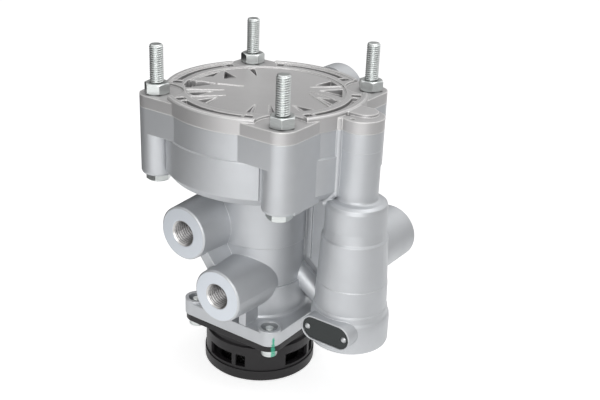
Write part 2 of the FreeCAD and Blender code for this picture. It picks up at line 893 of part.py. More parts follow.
def neck_bores():
    """Guide, delivery chamber, inlet seat, supply chamber and insert bore down the neck."""
    groove_z = insert_bottom_z - circlip_thickness
    cuts = [
        cylinder(cylinder_radius, seam_z + 1, head_floor_z),
        cylinder(guide_radius, head_floor_z + 1, guide_bottom_z - 1),
        cylinder(delivery_radius, guide_bottom_z, inlet_wall_z),
        cylinder(seat_radius, inlet_wall_z + 1, lap_z - 1),
        cylinder(supply_radius, inlet_under_z, flange_bottom_z - 1).cut(
            ring(seat_radius + seat_lip_width, seat_radius, inlet_under_z + 1, lap_z)),
        cylinder(supply_radius + circlip_depth, groove_z, insert_bottom_z),
    ]
    for k in range(4):
        angle = math.radians(45 + 90 * k)
        x = balance_hole_circle * math.cos(angle)
        y = balance_hole_circle * math.sin(angle)
        cuts.append(cylinder(balance_hole_radius, head_floor_z + 1, guide_bottom_z - 1, x, y))
    return cuts


def front_port_cuts():
    cuts = []
    for x, z, passage in (
        (upper_port_x, upper_port_z, upper_passage_radius),
        (lower_port_x, lower_port_z, lower_passage_radius),
    ):
        thread_end = port_face_y + port_thread_depth
        cuts.append(cylinder_y(port_thread_radius, x, z, port_face_y - 1, thread_end))
        cuts.append(cylinder_y(passage, x, z, thread_end - 1, -supply_radius / 2))
    return cuts


def control_port_cuts():
    thread_end = control_port_face_y - control_port_depth
    x, z = control_port_x, control_port_z
    return [
        cylinder_y(port_thread_radius, x, z, thread_end, control_port_face_y + 1),
        cylinder_y(control_passage_radius, x, z, cylinder_radius - 2 * control_boss_overlap, thread_end + 1),
    ]


def rear_port_cuts():
    thread_end = rear_port_face_y - rear_port_thread_depth
    return [
        cylinder_y(rear_port_thread_radius, column_x, rear_port_z, thread_end, rear_port_face_y + 1),
        cylinder_y(rear_passage_radius, column_x, rear_port_z, 0, thread_end + 1),
    ]


def column_bores():
    groove_z = phead_bottom_z - circlip_thickness
    bore = cylinder(column_bore_radius, column_bottom_z - 1, column_bore_top_z, column_x)
    groove = cylinder(column_bore_radius + circlip_depth, groove_z, phead_bottom_z, column_x)
    transfer = cylinder(column_transfer_radius, column_bore_top_z - 1, seam_z + 1, column_x)
    return [bore, groove, transfer] + bridge_pieces(bridge_passage_radius, column_x - column_bore_radius / 2)


def rivet_holes():
    return [
        cylinder_y(rivet_radius, x, plate_z, plate_face_y - 1, plate_face_y + rivet_depth)
        for x in rivet_places()
    ]


def flange_holes():
    """Screw holes, each opening into a round recess at the top."""
    pad_z = flange_top_z + flange_pad_height
    holes = [cylinder(screw_radius, flange_bottom_z - 1, pad_z + 1, x, y) for x, y in screw_places]
    recess_z = pad_z - flange_recess_depth
    return holes + [cylinder(flange_recess_radius, recess_z, pad_z + 1, x, y) for x, y in screw_places]


def flange_pads():
    """Low round pads at the flange's corners."""
    pad_z = flange_top_z + flange_pad_height
    return [cylinder(flange_margin, flange_bottom_z, pad_z, x, y) for x, y in screw_places]


def valve_body():
    """The single aluminium casting."""
    outside = [head_outside(), neck_outside(), column_outside()]
    outside.append(rounded_square(lug_half_side, lug_corner_radius, ledge_z, seam_z))
    outside += [lug_column(x, y) for x, y in stud_places]
    outside += [lug_side_web(1, -1), lug_side_web(1, 1)]
    outside += head_ribs()
    outside.append(rounded_square(flange_half_side, flange_corner_radius, flange_bottom_z, flange_top_z))
    outside += [front_port_boss(upper_port_x, upper_port_z), front_port_boss(lower_port_x, lower_port_z)]
    outside += [port_web(), foot_rib(), control_boss(), rear_boss()]
    outside += [side_panel(), nameplate_boss()]
    outside += bridge_pieces(bridge_radius, column_x) + flange_pads()
    cuts = neck_bores() + front_port_cuts() + control_port_cuts() + rear_port_cuts()
    cuts += column_bores() + rivet_holes() + flange_holes()
    for x, y in stud_places:
        cuts.append(cylinder(stud_radius + stud_clearance, head_bottom_z - 1, seam_z + 1, x, y))
    return without(joined(outside), cuts)


# Relay piston

def relay_piston():
    """Crown with skirt and ring groove, guided stem, hollow nose that closes the exhaust."""
    outer = cylinder_radius - piston_clearance
    stem = guide_radius - piston_stem_clearance
    skirt_z = piston_top_z - piston_skirt_depth
    crown = cylinder(outer, skirt_z, piston_top_z).cut(
        cylinder(outer - piston_skirt_wall, skirt_z - 1, piston_under_z))
    piston = joined([
        crown,
        cylinder(stem, stem_bottom_z, piston_under_z + 1),
        cylinder(nose_radius, lap_z, stem_bottom_z + 1),
    ])
    groove_mid = piston_top_z - piston_skirt_depth / 2
    half = ring_groove_height / 2
    stem_mid = (head_floor_z + guide_bottom_z) / 2
    stem_half = stem_groove_height / 2
    return without(piston, [
        ring(outer + 1, outer - ring_groove_depth, groove_mid - half, groove_mid + half),
        ring(stem + 1, stem - stem_groove_depth, stem_mid - stem_half, stem_mid + stem_half),
        cylinder(nose_bore_radius, lap_z - 1, lap_z + nose_bore_depth),
    ])


def piston_ring(bore, running, depth, height, z, x=0.0):
    """Rubber ring that fills its groove and stands to just short of the bore."""
    outer = bore - 0.03
    inner = bore - running - depth
    half = height / 2 - ring_clearance
    return ring(outer, inner, z - half, z + half, x)


def relay_piston_seal():
    z = piston_top_z - piston_skirt_depth / 2
    return piston_ring(cylinder_radius, piston_clearance, ring_groove_depth, ring_groove_height, z)


def piston_stem_seal():
    z = (head_floor_z + guide_bottom_z) / 2
    return piston_ring(guide_radius, piston_stem_clearance, stem_groove_depth, stem_groove_height, z)


# Inlet valve and its guide

def inlet_valve():
    """Valve head with a recess for its rubber and a hollow tube that leads to the exhaust."""
    top = lap_z - valve_rubber_proud
    bottom = top - valve_head_height
    valve = joined([
        cylinder(valve_head_radius, bottom, top),
        cylinder(valve_tube_radius, bottom - valve_tube_length, bottom + 1),
    ])
    return without(valve, [
        cylinder(valve_tube_bore, bottom - valve_tube_length - 1, top + 1),
        ring(valve_rubber_outer, valve_rubber_inner, lap_z - valve_rubber_thickness, top + 1),
    ])


def inlet_valve_rubber():
    return ring(valve_rubber_outer, valve_rubber_inner, lap_z - valve_rubber_thickness, lap_z)


def valve_guide_insert():
    """Guide that closes the supply chamber and leads the valve tube."""
    outer = supply_radius - insert_clearance
    bore = valve_tube_radius + valve_running_clearance
    insert = cylinder(outer, insert_bottom_z, insert_top_z)
    recess = cylinder(insert_recess_radius, insert_bottom_z - 1, insert_bottom_z + insert_recess_depth)
    mid = insert_mid_z()
    half = insert_groove_height / 2
    tube_half = stem_groove_height / 2
    return without(insert, [
        recess,
        cylinder(bore, insert_bottom_z - 1, insert_top_z + 1),
        ring(outer + 1, outer - insert_groove_depth, mid - half, mid + half),
        ring(bore + stem_groove_depth, bore - 1, mid - tube_half, mid + tube_half),
    ])


def insert_mid_z():
    return (insert_top_z + insert_bottom_z) / 2


def insert_seal():
    mid = insert_mid_z()
    return piston_ring(supply_radius, insert_clearance, insert_groove_depth, insert_groove_height, mid)


def valve_tube_seal():
    half = stem_groove_height / 2 - ring_clearance
    mid = insert_mid_z()
    outer = valve_tube_radius + valve_running_clearance + stem_groove_depth
    return ring(outer, valve_tube_radius + 0.03, mid - half, mid + half)


def circlip(bore, z, x=0.0):
    """Open snap ring sprung into a groove below z."""
    outer = bore + circlip_depth - 0.2
    whole = ring(outer, outer - circlip_width, z - circlip_thickness, z, x)
    gap = sector(outer + 1, 0.01, -circlip_gap_angle / 2, circlip_gap_angle, z - circlip_thickness - 1, z + 1)
    gap.translate(vec(x, 0, 0))
    return whole.cut(gap)


def insert_circlip():
    return circlip(supply_radius, insert_bottom_z)


def valve_spring():
    z0 = insert_top_z + spring_seat_gap
    z1 = lap_z - valve_rubber_proud - valve_head_height - spring_seat_gap
    return coil(valve_spring_radius, valve_spring_wire, z0, z1, valve_spring_turns)


# Column piston and plug

def column_piston():
    """Two-land spool with a vented stop tube on top, a waist and a spring pocket below."""
    outer = column_bore_radius - spool_clearance
    half = spool_groove_height / 2
    body = cylinder(outer, spool_bottom_z, spool_top_z, column_x)
    waist_bottom, waist_top = spool_bottom_z + spool_land, spool_top_z - spool_land
    waist = ring(outer + 1, spool_waist_radius, waist_bottom, waist_top, column_x)
    pocket = cylinder(spool_pocket_radius, spool_bottom_z - 1, spool_bottom_z + spool_pocket_depth, column_x)
    stop = ring(spool_stop_radius, spool_stop_bore, spool_top_z - 1, column_bore_top_z, column_x)
    vent_z = spool_top_z + spool_vent_rise
    vent = cylinder_y(spool_stop_vent, column_x, vent_z, -column_bore_radius, column_bore_radius)
    grooves = [
        ring(outer + 1, outer - spool_groove_depth, z - half, z + half, column_x) for z in spool_seal_levels()
    ]
    return without(joined([body, stop]), [waist, pocket, vent] + grooves)


def spool_seal_levels():
    return (spool_top_z - spool_land / 2, spool_bottom_z + spool_land / 2)


def column_piston_seal(z):
    depth, height = spool_groove_depth, spool_groove_height
    return piston_ring(column_bore_radius, spool_clearance, depth, height, z, column_x)


def column_plug():
    """Turned plug that closes the column bore."""
    outer = column_bore_radius - insert_clearance
    mid = (plug_top_z + phead_bottom_z) / 2
    half = plug_groove_height / 2
    plug = cylinder(outer, phead_bottom_z, plug_top_z, column_x)
    return without(plug, [
        ring(outer + 1, outer - plug_groove_depth, mid - half, mid + half, column_x),
        cylinder(plug_recess_radius, phead_bottom_z - 1, phead_bottom_z + plug_recess_depth, column_x),
    ])


def column_plug_seal():
    mid = (plug_top_z + phead_bottom_z) / 2
    depth, height = plug_groove_depth, plug_groove_height
    return piston_ring(column_bore_radius, insert_clearance, depth, height, mid, column_x)


def column_circlip():
    return circlip(column_bore_radius, phead_bottom_z, column_x)


def column_spring():
    z0 = plug_top_z + spring_seat_gap
    z1 = spool_bottom_z + spool_pocket_depth - spring_seat_gap
    return coil(column_spring_radius, column_spring_wire, z0, z1, column_spring_turns, column_x)


# Silencer

def silencer_housing():
    """Moulded square plate with a windowed drum below it."""
    top = silencer_top_z
    plate = rounded_square(flange_half_side, silencer_plate_radius, silencer_plate_z, top)
    neck_z = silencer_plate_z - silencer_neck_depth
    drum = turned([
        (0, silencer_plate_z + 1), (silencer_drum_radius - silencer_neck_setback, silencer_plate_z + 1),
        (silencer_drum_radius - silencer_neck_setback, neck_z + 1), (silencer_drum_radius, neck_z),
        (silencer_drum_radius, drum_bottom_z), (0, drum_bottom_z),
    ])
    inner = silencer_drum_radius - silencer_drum_wall
    cavity_top = silencer_plate_z
    housing = joined([plate, drum])
    cuts = [
        cylinder(inner - silencer_neck_setback, drum_bottom_z - 1, cavity_top),
        cylinder(inner, drum_bottom_z - 1, neck_z),
        cylinder(silencer_entry_radius, silencer_plate_z - 1, top + 1),
    ]
    cuts += silencer_windows()
    for x, y in screw_places:
        cuts.append(cylinder(screw_radius + screw_clearance, silencer_plate_z - 1, top + 1, x, y))
        cuts.append(cylinder(screw_head_radius + screw_head_room, drum_bottom_z - 1, silencer_plate_z, x, y))
    return without(housing, cuts)


def silencer_windows():
    """A wide and a narrow window on every side of the drum."""
    z0 = drum_bottom_z + silencer_window_lift
    z1 = z0 + silencer_window_height
    outer = silencer_drum_radius + 1
    inner = silencer_drum_radius - silencer_drum_wall - 2
    return [
        sector(outer, inner, start + 90 * k, angle, z0, z1)
        for start, angle in zip(silencer_window_starts, silencer_window_angles)
        for k in range(4)
    ]


def silencer_lid():
    """Cap pressed over the drum's open end."""
    edge = 1.0
    cap = turned([
        (0, drum_bottom_z), (lid_radius, drum_bottom_z), (lid_radius, lid_bottom_z + edge),
        (lid_radius - edge, lid_bottom_z), (0, lid_bottom_z),
    ])
    collar_top = drum_bottom_z + silencer_window_lift - 0.5
    collar = ring(lid_collar_radius, lid_bowl_radius, drum_bottom_z - 1, collar_top)
    bowl = cylinder(lid_bowl_radius, lid_bottom_z + lid_floor, drum_bottom_z + 1)
    return without(joined([cap, collar]), [bowl])


def silencer_mesh():
    """Knitted wire sleeve between the housing's ceiling and the lid's floor."""
    z0 = lid_bottom_z + lid_floor
    return ring(mesh_outer_radius, mesh_inner_radius, z0, silencer_plate_z)


def silencer_screw(x, y):
    """Cap screw from below with a hex socket."""
    head_top = silencer_plate_z
    head = cylinder(screw_head_radius, head_top - screw_head_height, head_top, x, y)
    shank = cylinder(screw_radius - 0.05, head_top - 1, head_top + screw_length, x, y)
    socket_z = head_top - screw_head_height
    socket_end = socket_z + screw_socket_depth
    socket = hexagon(screw_socket_across_flats, socket_z - 1, socket_end, x, y, (False, False))
    return without(joined([head, shank]), [socket])


# Nameplate

def rivet_places():
    return (column_x - rivet_spacing / 2, column_x + rivet_spacing / 2)


def nameplate():
    plate = stadium_y(
        plate_half_length, plate_radius, column_x, plate_z, plate_face_y - plate_thickness, plate_face_y)
    holes = [
        cylinder_y(rivet_radius + 0.05, x, plate_z, plate_face_y - plate_thickness - 1, plate_face_y + 1)
        for x in rivet_places()
    ]
    return without(plate, holes)


def nameplate_rivet(x):
    """Dome-headed drive rivet."""
    face = plate_face_y - plate_thickness
    return turned_y([
        (0, face - rivet_head_height), (0.6 * rivet_head_radius, face - 0.85 * rivet_head_height),
        (rivet_head_radius, face), (rivet_radius - 0.02, face),
        (rivet_radius - 0.02, plate_face_y + rivet_depth - 0.3), (0, plate_face_y + rivet_depth - 0.3),
    ], x, plate_z)


def all_nodes():
    """Every separate piece of the valve by name."""
    nodes = {
        "upper_cover": upper_cover(),
        "valve_body": valve_body(),
        "cover_seal": cover_seal(),
        "relay_piston": relay_piston(),
        "relay_piston_seal": relay_piston_seal(),
        "piston_stem_seal": piston_stem_seal(),
        "inlet_valve": inlet_valve(),
        "inlet_valve_rubber": inlet_valve_rubber(),
        "valve_spring": valve_spring(),
        "valve_guide_insert": valve_guide_insert(),
        "insert_seal": insert_seal(),
        "valve_tube_seal": valve_tube_seal(),
        "insert_circlip": insert_circlip(),
        "column_piston": column_piston(),
        "column_spring": column_spring(),
        "column_plug": column_plug(),
        "column_plug_seal": column_plug_seal(),
        "column_circlip": column_circlip(),
        "silencer_housing": silencer_housing(),
        "silencer_lid": silencer_lid(),
        "silencer_mesh": silencer_mesh(),
        "nameplate": nameplate(),
    }
    for number, (x, y) in enumerate(stud_places, 1):
        nodes["cover_bolt_%d" % number] = cover_bolt(x, y, bolt_head_turns[number - 1])
        nodes["cover_nut_%d" % number] = cover_nut(x, y, nut_turns[number - 1])
    for number, (x, y) in enumerate(screw_places, 1):
        nodes["silencer_screw_%d" % number] = silencer_screw(x, y)
    for number, z in enumerate(spool_seal_levels(), 1):
        nodes["column_piston_seal_%d" % number] = column_piston_seal(z)
    for number, x in enumerate(rivet_places(), 1):
        nodes["nameplate_rivet_%d" % number] = nameplate_rivet(x)
    return nodes


os.makedirs("parts", exist_ok=True)
for name, shape in all_nodes().items():
    shape.exportStep("parts/%s.step" % name)
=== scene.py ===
import json
import math

import bmesh
import bpy
import numpy as np
from mathutils import Matrix, Vector

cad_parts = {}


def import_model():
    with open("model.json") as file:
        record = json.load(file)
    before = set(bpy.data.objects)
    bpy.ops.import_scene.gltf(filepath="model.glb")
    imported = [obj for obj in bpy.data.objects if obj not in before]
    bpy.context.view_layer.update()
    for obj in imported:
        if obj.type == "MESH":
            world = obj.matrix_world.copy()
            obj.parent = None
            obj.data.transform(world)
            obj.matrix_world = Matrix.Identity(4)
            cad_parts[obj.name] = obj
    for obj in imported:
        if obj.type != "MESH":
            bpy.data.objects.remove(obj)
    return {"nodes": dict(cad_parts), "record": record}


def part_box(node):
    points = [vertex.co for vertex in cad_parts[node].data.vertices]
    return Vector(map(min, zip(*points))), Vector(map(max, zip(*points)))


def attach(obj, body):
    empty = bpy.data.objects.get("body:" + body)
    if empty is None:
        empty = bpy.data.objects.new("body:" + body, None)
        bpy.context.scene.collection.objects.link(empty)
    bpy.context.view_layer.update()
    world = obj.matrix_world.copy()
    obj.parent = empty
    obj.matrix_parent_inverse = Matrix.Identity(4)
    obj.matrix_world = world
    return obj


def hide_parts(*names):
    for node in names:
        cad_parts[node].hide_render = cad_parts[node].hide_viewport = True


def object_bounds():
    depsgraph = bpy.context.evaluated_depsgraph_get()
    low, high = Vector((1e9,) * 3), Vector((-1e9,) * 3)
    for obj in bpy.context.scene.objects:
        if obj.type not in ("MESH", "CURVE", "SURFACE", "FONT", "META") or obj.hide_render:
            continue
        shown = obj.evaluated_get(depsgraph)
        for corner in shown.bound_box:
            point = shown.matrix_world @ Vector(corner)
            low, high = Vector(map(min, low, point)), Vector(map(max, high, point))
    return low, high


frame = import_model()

# Driving values, in metres unless a name says otherwise
MM = 0.001
CAD_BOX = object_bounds()
NODES = frame["nodes"]
MOUNTS = {mount["name"]: mount for mount in frame["record"]["mounts"]}

# Threads: radius, pitch, depth, length and depth of the end's chamfer, points round and per pitch
STUD_RADIUS = MOUNTS["mounting_studs"]["dims"]["stud_r_mm"] * MM
STUD_THREAD = (STUD_RADIUS, 1.25 * MM, 0.55 * MM, 1.0 * MM, 0.9 * MM, 48, 10)
SCREW_THREAD = (2.95 * MM, 1.0 * MM, 0.42 * MM, 0.6 * MM, 0.6 * MM, 36, 9)
PORT_PITCH = 1.8 * MM
PORT_THREAD_DEPTH = 0.85 * MM
PORT_CHAMFER = 1.1 * MM
PORT_START = 0.05 * MM
PORT_END_ROOM = 0.4 * MM
PORT_COLUMNS = 64
PORT_SAMPLES = 10
PORT_WALL_GAP = 0.02 * MM
HEX_ACROSS_FLATS = 13.0 * MM
HEX_FACE_SHARE = 0.95
HEX_CHAMFER_ANGLE = 30.0
HEX_RING_LIFTS = (0.0, 0.15, 0.35, 0.6, 0.9, 1.3)
BOLT_HEAD_HEIGHT = 4.2 * MM
BOLT_HEAD_TURNS = (58.0, 34.0, 10.0, 34.0)
THREAD_START = 1.0 * MM
SHANK_CLEARANCE = 0.3 * MM
PIECE_LAP = 0.5 * MM
SCREW_HEAD_HEIGHT = 5.0 * MM
SOCKET_ACROSS_FLATS = 5.0 * MM
SOCKET_DEPTH = 2.8 * MM
SCREW_HEAD_EDGE = 0.5 * MM
KNURL_COUNT = 48
KNURL_DEPTH = 0.07 * MM
SMOOTH_ANGLE = 35.0

# Photographed view: camera place and turn about its axis
CAMERA_PLACE = (0.3162, -0.4226, 0.1564)
CAMERA_AZIMUTH = 34.386
CAMERA_ELEVATION = 23.609
CAMERA_ROLL = 2.406
CAMERA_LENS = 56.956
SENSOR_WIDTH = 36.0


# Node helpers

class Tree:
    """A material or group node tree with short calls for adding and wiring nodes."""

    def __init__(self, tree):
        self.tree = tree

    def add(self, kind, **settings):
        node = self.tree.nodes.new(kind)
        for name, value in settings.items():
            setattr(node, name, value)
        return node

    def wire(self, source, target):
        self.tree.links.new(source, target)

    def value(self, socket, given):
        """Wire a socket in, or set it to a constant."""
        if isinstance(given, bpy.types.NodeSocket):
            self.wire(given, socket)
        else:
            socket.default_value = given

    def math(self, operation, first, second=0.0):
        node = self.add("ShaderNodeMath", operation=operation)
        self.value(node.inputs[0], first)
        self.value(node.inputs[1], second)
        return node.outputs[0]

    def mix(self, factor, first, second):
        node = self.add("ShaderNodeMix", data_type="RGBA", blend_type="MIX")
        self.value(node.inputs["Factor"], factor)
        self.value(node.inputs[6], first)
        self.value(node.inputs[7], second)
        return node.outputs[2]

    def ramp(self, source, low, high, to_low=0.0, to_high=1.0):
        """Straight rise between two values, held at both ends."""
        node = self.add("ShaderNodeMapRange")
        self.value(node.inputs["Value"], source)
        node.inputs["From Min"].default_value = low
        node.inputs["From Max"].default_value = high
        node.inputs["To Min"].default_value = to_low
        node.inputs["To Max"].default_value = to_high
        return node.outputs["Result"]

    def noise(self, vector, scale, detail=4.0, roughness=0.55):
        node = self.add("ShaderNodeTexNoise")
        self.value(node.inputs["Vector"], vector)
        node.inputs["Scale"].default_value = scale
        node.inputs["Detail"].default_value = detail
        node.inputs["Roughness"].default_value = roughness
        return node.outputs["Fac"]

    def place(self):
        """Object coordinates."""
        return self.add("ShaderNodeTexCoord").outputs["Object"]

    def split(self, vector):
        """X, Y and Z of a vector."""
        node = self.add("ShaderNodeSeparateXYZ")
        self.wire(vector, node.inputs["Vector"])
        return node.outputs["X"], node.outputs["Y"], node.outputs["Z"]

    def group(self, group, **inputs):
        node = self.add("ShaderNodeGroup")
        node.node_tree = group
        for name, given in inputs.items():
            self.value(node.inputs[name.replace("_", " ")], given)
        return node


def node_group(name, inputs, outputs):
    """An empty shader group with named float, colour or vector sockets."""
    group = bpy.data.node_groups.new(name, "ShaderNodeTree")
    for label, kind, default in inputs:
        socket = group.interface.new_socket(label, in_out="INPUT", socket_type="NodeSocket" + kind)
        if default is not None:
            socket.default_value = default
    for label, kind in outputs:
        group.interface.new_socket(label, in_out="OUTPUT", socket_type="NodeSocket" + kind)
    tree = Tree(group)
    return group, tree, tree.add("NodeGroupInput").outputs, tree.add("NodeGroupOutput").inputs


def soft_edge_group():
    """Rounded normal at sharp corners and a mask of where the corners are."""
    group, tree, given, result = node_group(
        "soft_edge", [("Radius", "Float", 0.0006)], [("Normal", "Vector"), ("Edge", "Float")])
    bevel = tree.add("ShaderNodeBevel", samples=6)
    tree.wire(given["Radius"], bevel.inputs["Radius"])
    geometry = tree.add("ShaderNodeNewGeometry")
    dot = tree.add("ShaderNodeVectorMath", operation="DOT_PRODUCT")
    tree.wire(bevel.outputs["Normal"], dot.inputs[0])
    tree.wire(geometry.outputs["Normal"], dot.inputs[1])
    tree.wire(bevel.outputs["Normal"], result["Normal"])
    tree.wire(tree.ramp(dot.outputs["Value"], 0.999, 0.90), result["Edge"])
    return group


def cast_skin_group():
    """Fine orange-peel height and slow tone drift of a die-cast skin, on Object coordinates."""
    group, tree, given, result = node_group(
        "cast_skin", [("Grain", "Float", 1.0)], [("Height", "Float"), ("Tone", "Float"), ("Speck", "Float")])
    place = tree.place()
    fine = tree.noise(place, 900.0, 5.0, 0.6)
    middle = tree.noise(place, 190.0, 3.0, 0.5)
    slow = tree.noise(place, 28.0, 3.0, 0.6)
    specks = tree.noise(place, 420.0, 2.0, 0.4)
    height = tree.math("ADD", tree.math("MULTIPLY", fine, 0.6), tree.math("MULTIPLY", middle, 0.8))
    tree.wire(tree.math("MULTIPLY", height, given["Grain"]), result["Height"])
    tree.wire(slow, result["Tone"])
    tree.wire(tree.ramp(specks, 0.68, 0.76), result["Speck"])
    return group


def hollow_shade_group():
    """Mask of corners and hollows, for painted shade where light doesn't reach."""
    group, tree, given, result = node_group(
        "hollow_shade", [("Distance", "Float", 0.006)], [("Mask", "Float")])
    shade = tree.add("ShaderNodeAmbientOcclusion", samples=4)
    tree.wire(given["Distance"], shade.inputs["Distance"])
    tree.wire(tree.ramp(shade.outputs["AO"], 0.85, 0.25), result["Mask"])
    return group


SOFT_EDGE = soft_edge_group()
CAST_SKIN = cast_skin_group()
HOLLOW_SHADE = hollow_shade_group()


def new_material(name):
    material = bpy.data.materials.new(name)
    material.use_nodes = True
    tree = Tree(material.node_tree)
    shader = material.node_tree.nodes["Principled BSDF"]
    return material, tree, shader


def bump(tree, height, normal, strength, distance):
    node = tree.add("ShaderNodeBump")
    node.inputs["Strength"].default_value = strength
    node.inputs["Distance"].default_value = distance
    tree.wire(height, node.inputs["Height"])
    tree.wire(normal, node.inputs["Normal"])
    return node.outputs["Normal"]


# Finishes

CAST_METALLIC = 0.55
CAST_ROUGHNESS = (0.42, 0.52)
TOOL_LINE_STRETCH = (1.0, 1.0, 12.0)
TOOL_LINE_SCALE = 260.0
STRAND_TURNS = (0.7, -0.7)
STRAND_SCALE = 190.0


def colour(red, green, blue):
    return (red, green, blue, 1.0)


def scaled(tone, share):
    """A colour times a share, no brighter than white."""
    return tuple(min(1.0, share * part) for part in tone[:3]) + (1.0,)


def cast_metal(name, base, shade_and_speck_tone, highlight_tone, edge_radius, edge_highlight, hollow_shade_share):
    """Satin die-cast aluminium: drifting tone, painted highlight on corners, painted shade in hollows, fine
    skin.
    """
    material, tree, shader = new_material(name)
    skin = tree.group(CAST_SKIN, Grain=1.0)
    edge = tree.group(SOFT_EDGE, Radius=edge_radius)
    hollow_shade = tree.group(HOLLOW_SHADE, Distance=0.007)
    drift = tree.ramp(skin.outputs["Tone"], 0.35, 0.68, 0.0, 1.0)
    tone = tree.mix(drift, base, scaled(base, 0.93))
    # Painted shade: hollows are mixed towards the shade tone
    tone = tree.mix(tree.math("MULTIPLY", hollow_shade.outputs["Mask"], hollow_shade_share), tone, shade_and_speck_tone)
    # Painted highlight: sharp corners are mixed towards the highlight tone
    tone = tree.mix(tree.math("MULTIPLY", edge.outputs["Edge"], edge_highlight), tone, highlight_tone)
    tone = tree.mix(tree.math("MULTIPLY", skin.outputs["Speck"], 0.06), tone, shade_and_speck_tone)
    tree.wire(tone, shader.inputs["Base Color"])
    tree.wire(tree.ramp(skin.outputs["Tone"], 0.3, 0.7, *CAST_ROUGHNESS), shader.inputs["Roughness"])
    shader.inputs["Metallic"].default_value = CAST_METALLIC
    normal = bump(tree, skin.outputs["Height"], edge.outputs["Normal"], 0.22, 0.00025)
    tree.wire(normal, shader.inputs["Normal"])
    return material, tree, shader, tone


def plated_metal(name, base, roughness, edge_radius, groove_shade=0.0, deep_shade=0.0):
    """Bright plated or turned metal: faint tool lines, rounded corners, painted shade in thread grooves and
    deep inside bores.
    """
    material, tree, shader = new_material(name)
    place = tree.place()
    stretch = tree.add("ShaderNodeMapping")
    stretch.inputs["Scale"].default_value = TOOL_LINE_STRETCH
    tree.wire(place, stretch.inputs["Vector"])
    lines = tree.noise(stretch.outputs["Vector"], TOOL_LINE_SCALE, 4.0, 0.6)
    edge = tree.group(SOFT_EDGE, Radius=edge_radius)
    tone = tree.mix(tree.ramp(lines, 0.3, 0.7), base, scaled(base, 0.80))
    # Painted shade in the thread grooves
    if groove_shade:
        hollow_shade = tree.group(HOLLOW_SHADE, Distance=0.0012)
        tone = tree.mix(tree.math("MULTIPLY", hollow_shade.outputs["Mask"], groove_shade), tone, scaled(base, 0.22))
    # Painted shade deep inside a bore, mixed towards near black
    if deep_shade:
        deep_shade_mask = tree.group(HOLLOW_SHADE, Distance=0.016)
        tone = tree.mix(tree.math("MULTIPLY", deep_shade_mask.outputs["Mask"], deep_shade), tone, colour(0.05, 0.05, 0.055))
    tree.wire(tone, shader.inputs["Base Color"])
    tree.wire(tree.ramp(lines, 0.3, 0.7, roughness, roughness + 0.12), shader.inputs["Roughness"])
    shader.inputs["Metallic"].default_value = 1.0
    tree.wire(bump(tree, lines, edge.outputs["Normal"], 0.12, 0.0001), shader.inputs["Normal"])
    return material


def moulded_plastic(name, base, roughness):
    """Matt moulded plastic with a fine spark-eroded grain and slightly greyed corners."""
    material, tree, shader = new_material(name)
    place = tree.place()
    grain = tree.noise(place, 1500.0, 3.0, 0.6)
    slow = tree.noise(place, 40.0, 2.0, 0.5)
    edge = tree.group(SOFT_EDGE, Radius=0.0005)
    tone = tree.mix(tree.ramp(slow, 0.3, 0.7), base, scaled(base, 1.35))
    tone = tree.mix(tree.math("MULTIPLY", edge.outputs["Edge"], 0.5), tone, scaled(base, 2.6))
    tree.wire(tone, shader.inputs["Base Color"])
    tree.wire(tree.ramp(grain, 0.3, 0.7, roughness - 0.06, roughness + 0.06), shader.inputs["Roughness"])
    shader.inputs["Specular IOR Level"].default_value = 0.36
    tree.wire(bump(tree, grain, edge.outputs["Normal"], 0.25, 0.00015), shader.inputs["Normal"])
    return material


def moulded_rubber(name):
    """Black nitrile rubber with a dull bloom."""
    material, tree, shader = new_material(name)
    place = tree.place()
    bloom = tree.noise(place, 260.0, 4.0, 0.6)
    tone = tree.mix(bloom, colour(0.012, 0.012, 0.013), colour(0.035, 0.035, 0.036))
    tree.wire(tone, shader.inputs["Base Color"])
    tree.wire(tree.ramp(bloom, 0.3, 0.7, 0.55, 0.75), shader.inputs["Roughness"])
    geometry = tree.add("ShaderNodeNewGeometry")
    tree.wire(bump(tree, bloom, geometry.outputs["Normal"], 0.3, 0.0001), shader.inputs["Normal"])
    return material


def knitted_wire(name):
    """Crimped wire sleeve: crossing diagonal strands as height and tone."""
    material, tree, shader = new_material(name)
    place = tree.place()
    strands = []
    for turn in STRAND_TURNS:
        mapping = tree.add("ShaderNodeMapping")
        mapping.inputs["Rotation"].default_value = (turn, turn, 0.4)
        tree.wire(place, mapping.inputs["Vector"])
        wave = tree.add("ShaderNodeTexWave", wave_type="BANDS", bands_direction="Z")
        wave.inputs["Scale"].default_value = STRAND_SCALE
        wave.inputs["Distortion"].default_value = 3.0
        tree.wire(mapping.outputs["Vector"], wave.inputs["Vector"])
        strands.append(wave.outputs["Fac"])
    height = tree.math("MAXIMUM", strands[0], strands[1])
    tone = tree.mix(height, colour(0.01, 0.01, 0.01), colour(0.035, 0.035, 0.035))
    tree.wire(tone, shader.inputs["Base Color"])
    geometry = tree.add("ShaderNodeNewGeometry")
    tree.wire(bump(tree, height, geometry.outputs["Normal"], 0.8, 0.0006), shader.inputs["Normal"])
    tree.wire(tree.ramp(height, 0.0, 1.0, 0.7, 0.35), shader.inputs["Roughness"])
    shader.inputs["Metallic"].default_value = 0.9
    return material


# Paint stroke, placed from the front corner's screw and the silencer's top
STROKE_COLOUR = colour(0.05, 0.42, 0.27)
STROKE_FACING = math.radians(34.0)
STROKE_HALF_WIDTH = 1.3 * MM
STROKE_TOP_HALF_WIDTH = 0.4 * MM
STROKE_RAGGED = 1.6 * MM
STROKE_BLUR = 0.4 * MM
STROKE_END_BLUR = 1.0 * MM
PAINTED_SCREW_NUMBER = 2
SCREW_LOW, SCREW_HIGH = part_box("silencer_screw_%d" % PAINTED_SCREW_NUMBER)
SCREW_MIDDLE = (SCREW_LOW + SCREW_HIGH) / 2


def along_and_out(x, y):
    """Place along the corner's face and out from it, from the facing angle."""
    cos, sin = math.cos(STROKE_FACING), math.sin(STROKE_FACING)
    return x * cos + y * sin, x * sin - y * cos


